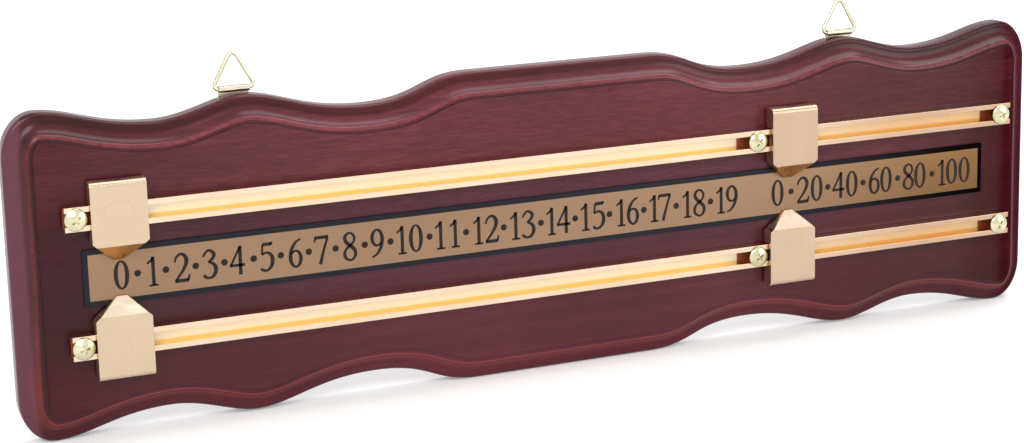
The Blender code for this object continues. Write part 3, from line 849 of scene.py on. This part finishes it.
# A cross that narrows with depth: a quarter of its outline turned four times, at two heights
def crossCutter(size, centre, turn, towards):
    arm, half = size["arm"], size["width"] / 2
    corner = np.array([(half, arm), (-half, arm), (-half, half)])
    flat = np.concatenate([corner @ turnedBy(angle) for angle in (0, 90, 180, 270)])
    flat = flat @ turnedBy(turn)
    top = size["edge"] + size["rise"]
    levels = ((top + 0.5 * mm, 1.0), (top - size["deep"], size["taper"]))
    block = np.concatenate([np.stack([
        centre[0] + share * flat[:, 0], np.full(12, centre[1] + towards * height),
        centre[2] + share * flat[:, 1]], axis=1) for height, share in levels])
    return newPiece("cutter", block, tubeFaces(2, 12))


def buildScrew(name, node, size, centre, turn, towards, material):
    piece = turned(name, screwProfile(size), centre, material, 72, towards)
    cutAway(piece, [crossCutter(size, centre, turn, towards)], sharp=32)
    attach(piece, "board")
    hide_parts(node)
    return piece


railScrewMetal, *_ = metal(
    "pale_plated_steel", platedMetal, railScrew["metalDeep"], railScrew["metal"], 0.19, 0.3
)
for side in railZ:
    for spot, x in rail["screws"].items():
        centre = (x, railScrew["seatY"], railZ[side])
        piece = buildScrew("rail_screw_" + side + "_" + spot, "screw_" + side + "_" + spot,
                           railScrew, centre, railScrew["turns"][side, spot], -1, railScrewMetal)
print("stage: rail screws")

# ---- pointers

pointer = {
    "width": 25 * mm, "front": 8.45 * mm, "back": 1.4 * mm, "crease": 13.1 * mm, "bevel": 7.6 * mm,
    "shoulderDrop": 1.5 * mm, "end": 15.65 * mm, "endRadius": 2.5 * mm, "tipWidth": 4.6 * mm,
    "tipShift": 0.7 * mm, "tipEdge": 0.5 * mm, "groove": 5.775 * mm, "grooveFloor": 6.3 * mm,
    "neckHole": 2.65 * mm, "neckFrom": 5 * mm, "neckDeep": 1.2 * mm, "round": 0.22 * mm,
    "endSteps": 16,
    "places": {("upper", "units"): -216.05 * mm, ("lower", "units"): -216.75 * mm,
               ("upper", "hundreds"): 117.95 * mm, ("lower", "hundreds"): 116.55 * mm},
    # the two bevel tones are painted: shade on a bevel that looks down, sheen on one that looks up
    "gold": srgb(218, 196, 167), "goldDeep": srgb(211, 187, 158), "worn": srgb(186, 138, 84),
    "upBevelSheen": srgb(242, 220, 196), "brushed": ((2600, 26, 26), 4, 0.65, (0, math.radians(3), 0)),
    "cloud": ((70, 30, 70), 2, 0.5),
    # a faint arc on one face, where the glide's neck is fixed behind it, and its fades
    "marked": ("upper", "units"), "mark": srgb(160, 122, 84), "markRadius": 7.1 * mm,
    "markWidth": (0.05 * mm, 0.35 * mm, 0.14, 0.0), "markHeight": (-5 * mm, 2 * mm, 0.1, 1.0),
    "tints": {("upper", "hundreds"): srgb(241, 234, 233),
              ("lower", "hundreds"): srgb(248, 244, 246)},
}


def brushedGold(name, side, row):
    material, tree, shader = newMaterial(name)
    brushed = noise(tree, *pointer["brushed"])
    blend = brushed * 0.55 + noise(tree, *pointer["cloud"]) * 0.45
    colour = ramp(blend, [(0.26, pointer["goldDeep"]), (0.74, pointer["gold"])])
    if (side, row) == pointer["marked"]:
        x, _, z = axes(tree, (-pointer["places"][side, row], 0, -railZ[side]))
        away = abs(calculate("SQRT", x * x + z * z) - pointer["markRadius"])
        ring = fade(away, *pointer["markWidth"]) * fade(z, *pointer["markHeight"])
        colour = mixColour("MULTIPLY", ring, colour, pointer["mark"])
    if (side, row) in pointer["tints"]:
        colour = mixColour("MULTIPLY", 1.0, colour, pointer["tints"][side, row])
    # painted shade makes a bevel that looks down browner, and painted sheen makes one that looks up
    # paler
    up, tone = (-1, pointer["worn"]) if side == "upper" else (1, pointer["upBevelSheen"])
    crease = railZ[side] + up * pointer["crease"]
    share = mapRange(axes(tree)[2], crease, crease + up * 0.4 * mm)
    feed(shader, {
        "Base Color": mixColour("MIX", share, colour, tone),
        "Roughness": mapRange(brushed, 0.3, 0.7, 0.24, 0.34), "Metallic": 1.0, "Anisotropic": 0.5,
    })
    addBump(shader, brushed, 0.006 * mm, 0.25)
    return material


# The side of a pointer as (depth in front of the field, height towards the tip), cut off at each
# height by the face's two edges, which run straight up and then in to the tip
def buildPointer(side, row, x):
    back, front, crease = pointer["back"], pointer["front"], pointer["crease"]
    end, radius = pointer["end"], pointer["endRadius"]
    groove, grooveFloor = pointer["groove"], pointer["grooveFloor"]
    tip = crease + pointer["bevel"]
    shoulder = crease - pointer["shoulderDrop"]
    bend = arc(front - radius, radius - end, radius, -90, 0, pointer["endSteps"])
    section = np.concatenate([
        [(back, -end)], bend,
        [(front, shoulder), (front, crease), (back + pointer["tipEdge"], tip), (back, tip)],
        [(back, shoulder), (back, groove), (grooveFloor, groove), (grooveFloor, -groove)],
        [(back, -groove)],
    ])
    depth, height = section[:, 0], section[:, 1]
    share = np.clip((height - shoulder) / (tip - shoulder), 0, 1)
    half = pointer["width"] / 2
    left = -half + (pointer["tipShift"] - pointer["tipWidth"] / 2 + half) * share
    right = half + (pointer["tipShift"] + pointer["tipWidth"] / 2 - half) * share
    across = np.stack([left, right])
    if side == "upper":   # the same part turned upside down
        across, height = -across, -height
    points = np.stack([x + across, np.tile(fieldY - depth, (2, 1)),
                       np.tile(railZ[side] + height, (2, 1))], axis=-1)
    count = len(section)
    top = len(bend) + 1   # the first of the five points from shoulder to shoulder
    upper = list(range(top, top + 5))
    lower = list(range(top + 1)) + list(range(top + 4, count))
    faces = [gridFaces(2, count, closeColumns=True)]
    faces += [[[k + start for k in loop]] for loop in (upper, lower) for start in (0, count)]
    material = brushedGold("brushed_gold_" + side + "_" + row, side, row)
    piece = newPiece("pointer_block_" + side + "_" + row, points, faces, material)
    cutAway(piece, [drill((x, fieldY, railZ[side]), pointer["neckHole"], pointer["neckFrom"],
                          grooveFloor + pointer["neckDeep"])])
    roundEdges(piece, pointer["round"])
    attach(piece, side + "_" + row + "_slider")
    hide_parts("pointer_" + side + "_" + row)


for (side, row), x in pointer["places"].items():
    buildPointer(side, row, x)
glideBrass, *_ = metal("plain_brass", drawnMetal, srgb(178, 146, 82), srgb(196, 166, 98),
                       0.25, 0.35)
for side, row in pointer["places"]:
    glide = nodes["glide_" + side + "_" + row]
    glide.data.materials.clear()
    glide.data.materials.append(glideBrass)
print("stage: pointers")

# ---- hangers

# the pale brass gets painted shade where it curves away
hangerBrass, *_ = metal("pale_brass", platedMetal, srgb(224, 216, 186), srgb(238, 232, 206),
                        0.17, 0.28, grazingShade=srgb(150, 146, 112))
hangerSteel, *_ = metal("plated_steel", platedMetal, srgb(184, 180, 168), srgb(206, 202, 190),
                        0.25, 0.36)


# A strap's side: up the sheet's outer face, round the sleeve and back along its inner face
def buildStrap(end):
    x, y, z = hangerPlace(end)
    inner = hanger["wire"] + hanger["pivotGap"]
    outer = inner + hanger["sheet"]
    close = 360 - math.degrees(math.acos((inner - hanger["slit"]) / outer))
    drop, steps = hanger["strapLength"], hanger["sleeveSteps"]
    section = np.concatenate([[(inner, -drop), (outer, -drop)], arc(0, 0, outer, 0, close, steps),
                              arc(0, 0, inner, close, 0, steps)])
    # the section's first axis points to the wall, so it is turned forwards
    section[:, 0] *= -1
    half = hanger["strapWidth"] / 2
    piece = carryAlongX("strap_" + end, section, x - half, x + half, y, z, hangerBrass)
    roundEdges(piece, hanger["round"], 2)
    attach(piece, "board")
    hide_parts("hanger_strap_" + end)


# A closed path with each corner replaced by an arc that touches both of its sides
def roundedTriangle(corners, radii, steps=14):
    path = []
    neighbours = zip(corners, np.roll(corners, 1, axis=0), np.roll(corners, -1, axis=0), radii)
    for corner, before, after, radius in neighbours:
        before, after = ((end - corner) / np.linalg.norm(end - corner) for end in (before, after))
        half = math.acos(before @ after) / 2
        middle = (before + after) / np.linalg.norm(before + after)
        centre = corner + middle * radius / math.sin(half)
        across = np.array((-middle[1], middle[0]))
        across *= math.copysign(1, across @ before)
        a = np.linspace(half - math.pi / 2, math.pi / 2 - half, steps + 1)[:, None]
        path.append(centre - radius * (middle * np.cos(a) + across * np.sin(a)))
    return np.concatenate(path)


# Round wire carried along a closed path in the XZ plane: the path plus a circle in the plane of
# its outward normal and Y
def buildRing(end):
    x, y, z = hangerPlace(end)
    foot = hanger["strapWidth"] / 2 + hanger["footReach"]
    corners = ((-foot, 0.0), (foot, 0.0), (0.0, hanger["peak"]))
    radii = (hanger["footRadius"], hanger["footRadius"], hanger["topRadius"])
    path = roundedTriangle(corners, radii)
    along = np.roll(path, -1, axis=0) - np.roll(path, 1, axis=0)
    along /= np.linalg.norm(along, axis=1, keepdims=True)
    normal = np.stack([along[:, 1], -along[:, 0]], axis=1)
    a = np.linspace(0, 2 * math.pi, hanger["wireSteps"], endpoint=False)[None]
    out = hanger["wire"] * np.cos(a)
    points = np.stack([
        x + path[:, :1] + normal[:, :1] * out,
        y + hanger["wire"] * np.sin(a) * np.ones((len(path), 1)),
        z + path[:, 1:] + normal[:, 1:] * out,
    ], axis=-1)
    faces = [gridFaces(len(path), hanger["wireSteps"], closeRows=True, closeColumns=True)]
    piece = newPiece("ring_" + end, points, faces, hangerBrass)
    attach(piece, end + "_ring")
    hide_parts("hanger_ring_" + end)


for end in hanger["places"]:
    buildStrap(end)
    buildRing(end)
    x, _, z = hangerPlace(end)
    for spot, drop in hanger["screwDrops"].items():
        centre = (x, hanger["gap"] - hanger["float"], z - drop)
        piece = buildScrew("strap_screw_" + end + "_" + spot, "hanger_screw_" + end + "_" + spot,
                           strapScrew, centre, strapScrew["turn"], 1, hangerSteel)
print("stage: hangers")

# ---- floor, light and camera

floor = {
    "size": 12.0, "points": 25, "z": -board["height"] / 2 - 0.2 * mm,
    "colour": srgb(244, 244, 243), "colourLow": srgb(242, 242, 241), "roughness": 0.9,
    # light of its own where it is seen, near and far, and what the camera sees on top
    "lift": 0.1, "liftFar": 0.45, "liftSeen": 0.15, "behind": (0.1, 0.9), "distance": (1.0, 2.0),
}


# What the camera sees straight, and what is seen straight, in metal or through glass
def seenRays(tree):
    path = addNode("ShaderNodeLightPath", {}, tree).outputs
    straight, glossy, through = (
        Output(path[name]) for name in ("Is Camera Ray", "Is Glossy Ray", "Is Transmission Ray"))
    return straight, calculate("MAXIMUM", straight, glossy, through)


# A flat grid that looks a little brighter than it is lit, mostly behind the board and far away
def buildFloor():
    material, tree, shader = newMaterial("pale_floor")
    soft = noise(tree, (3, 3, 3), 2, 0.5)
    straight, seen = seenRays(tree)
    away = addNode("ShaderNodeVectorMath", {0: placed(tree)}, operation="LENGTH")
    far = calculate("MAXIMUM", fade(axes(tree)[1], *floor["behind"]),
                    fade(Output(away.outputs["Value"]), *floor["distance"]))
    lift = mapRange(far, 0.0, 1.0, floor["lift"], floor["liftFar"]) + straight * floor["liftSeen"]
    feed(shader, {
        "Base Color": ramp(soft, [(0.3, floor["colourLow"]), (0.7, floor["colour"])]),
        "Roughness": floor["roughness"], "Specular IOR Level": 0.0,
        "Emission Color": (1, 1, 1, 1), "Emission Strength": seen * lift,
    })
    count = floor["points"]
    u = np.linspace(-0.5, 0.5, count) * floor["size"]
    x, y = np.meshgrid(u, u)
    points = np.stack([x, y, np.full_like(x, floor["z"])], axis=-1)
    piece = newPiece("floor", points, [gridFaces(count, count)], material)
    if piece.data.polygons[0].normal.z < 0:
        piece.data.flip_normals()


buildFloor()

world = bpy.data.worlds.new("studio")
bpy.context.scene.world = world
world.use_nodes = True
_, seen = seenRays(world.node_tree)
feed(world.node_tree.nodes["Background"],
     {"Color": (1, 1, 1, 1), "Strength": mapRange(seen, 0.0, 1.0, 0.62, 1.0)})

# name, place, width, height and power; each looks at the middle of the board
lamps = (
    ("key", (-0.9, -1.3, 1.1), 1.1, 0.8, 16),
    ("fill", (1.3, -1.2, 0.5), 1.0, 0.9, 7),
    ("top", (0.57, 0.1, 1.3), 0.8, 1.25, 7.5),
)
for name, place, width, height, power in lamps:
    light = bpy.data.lights.new(name, "AREA")
    light.shape = "RECTANGLE"
    light.size = width
    light.size_y = height
    light.energy = power
    lamp = bpy.data.objects.new(name, light)
    lamp.location = place
    lamp.rotation_euler = (-Vector(place)).to_track_quat("-Z", "Y").to_euler()
    bpy.context.scene.collection.objects.link(lamp)

cameraView = {
    "lens": 74.118, "sensor": 36, "shiftY": -0.1, "place": (-0.39112, -0.91023, 0.24383),
    "turn": (78.7125, 1.421, -22.3499),
}
cameraData = bpy.data.cameras.new("camera")
cameraData.lens = cameraView["lens"]
cameraData.sensor_width = cameraView["sensor"]
cameraData.shift_y = cameraView["shiftY"]
cameraData.clip_start = 0.01
camera = bpy.data.objects.new("camera", cameraData)
camera.location = cameraView["place"]
camera.rotation_euler = [math.radians(angle) for angle in cameraView["turn"]]
bpy.context.scene.collection.objects.link(camera)
bpy.context.scene.camera = camera
bpy.context.scene.view_settings.view_transform = "Standard"
print("stage: light and camera")
